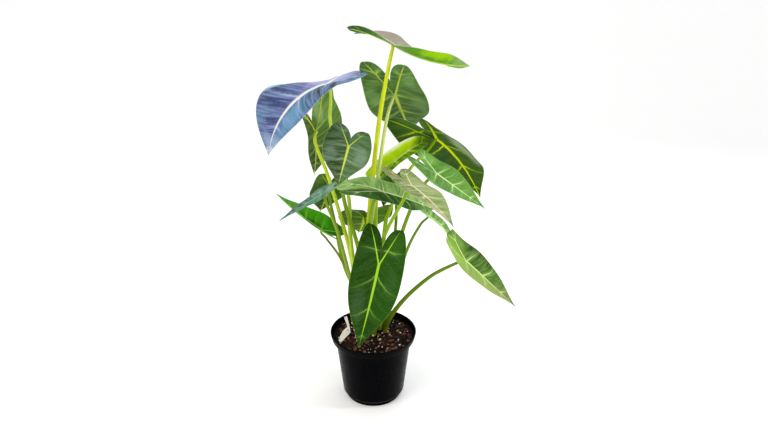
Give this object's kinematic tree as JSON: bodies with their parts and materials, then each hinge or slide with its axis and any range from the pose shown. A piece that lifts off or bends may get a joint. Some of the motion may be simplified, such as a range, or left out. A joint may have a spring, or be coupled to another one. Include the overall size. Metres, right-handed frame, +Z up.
{
  "type": "potted alocasia plant",
  "caption": "Potted arrow-leaved aroid: broad velvety leaves with pale veins on long slim stalks, growing from dark soil in a round black nursery pot.",
  "frame": {"origin": "centre of the pot's flat underside", "axes": "+Z up along the pot's axis, -Y towards the viewer of the picture, +X to the viewer's right"},
  "size_m": [0.4251, 0.3917, 0.6723],
  "materials": {
    "pot": "satin",
    "soil": "matte",
    "label": "satin",
    "petiole": "satin",
    "leaf_green": "matte",
    "leaf_dark": "matte",
    "leaf_bright": "matte",
    "leaf_pale": "matte",
    "leaf_grey": "matte",
    "leaf_blue": "matte",
    "leaf_young": "satin"
  },
  "bodies": {
    "root": {"pot": "pot", "soil": "soil", "label": "label", "petiole_crown": "petiole", "petiole_rear_upper": "petiole", "petiole_rear_right": "petiole", "petiole_left_upper": "petiole", "petiole_left_heart": "petiole", "petiole_centre": "petiole", "petiole_left_narrow": "petiole", "petiole_centre_right": "petiole", "petiole_right_upper": "petiole", "petiole_right_low": "petiole", "petiole_front": "petiole", "petiole_left_low": "petiole", "petiole_left_rear": "petiole", "petiole_left_rear_low": "petiole", "petiole_rear_low": "petiole", "petiole_rear_mid": "petiole", "petiole_right_edge": "petiole", "petiole_young": "petiole", "blade_crown": "leaf_pale", "blade_rear_upper": "leaf_green", "blade_rear_right": "leaf_dark", "blade_left_upper": "leaf_blue", "blade_left_heart": "leaf_green", "blade_centre": "leaf_grey", "blade_left_narrow": "leaf_grey", "blade_centre_right": "leaf_grey", "blade_right_upper": "leaf_pale", "blade_right_low": "leaf_pale", "blade_front": "leaf_dark", "blade_left_low": "leaf_bright", "blade_left_rear": "leaf_green", "blade_left_rear_low": "leaf_dark", "blade_rear_low": "leaf_dark", "blade_rear_mid": "leaf_dark", "blade_right_edge": "leaf_pale", "blade_young": "leaf_young"}
  },
  "joints": []
}
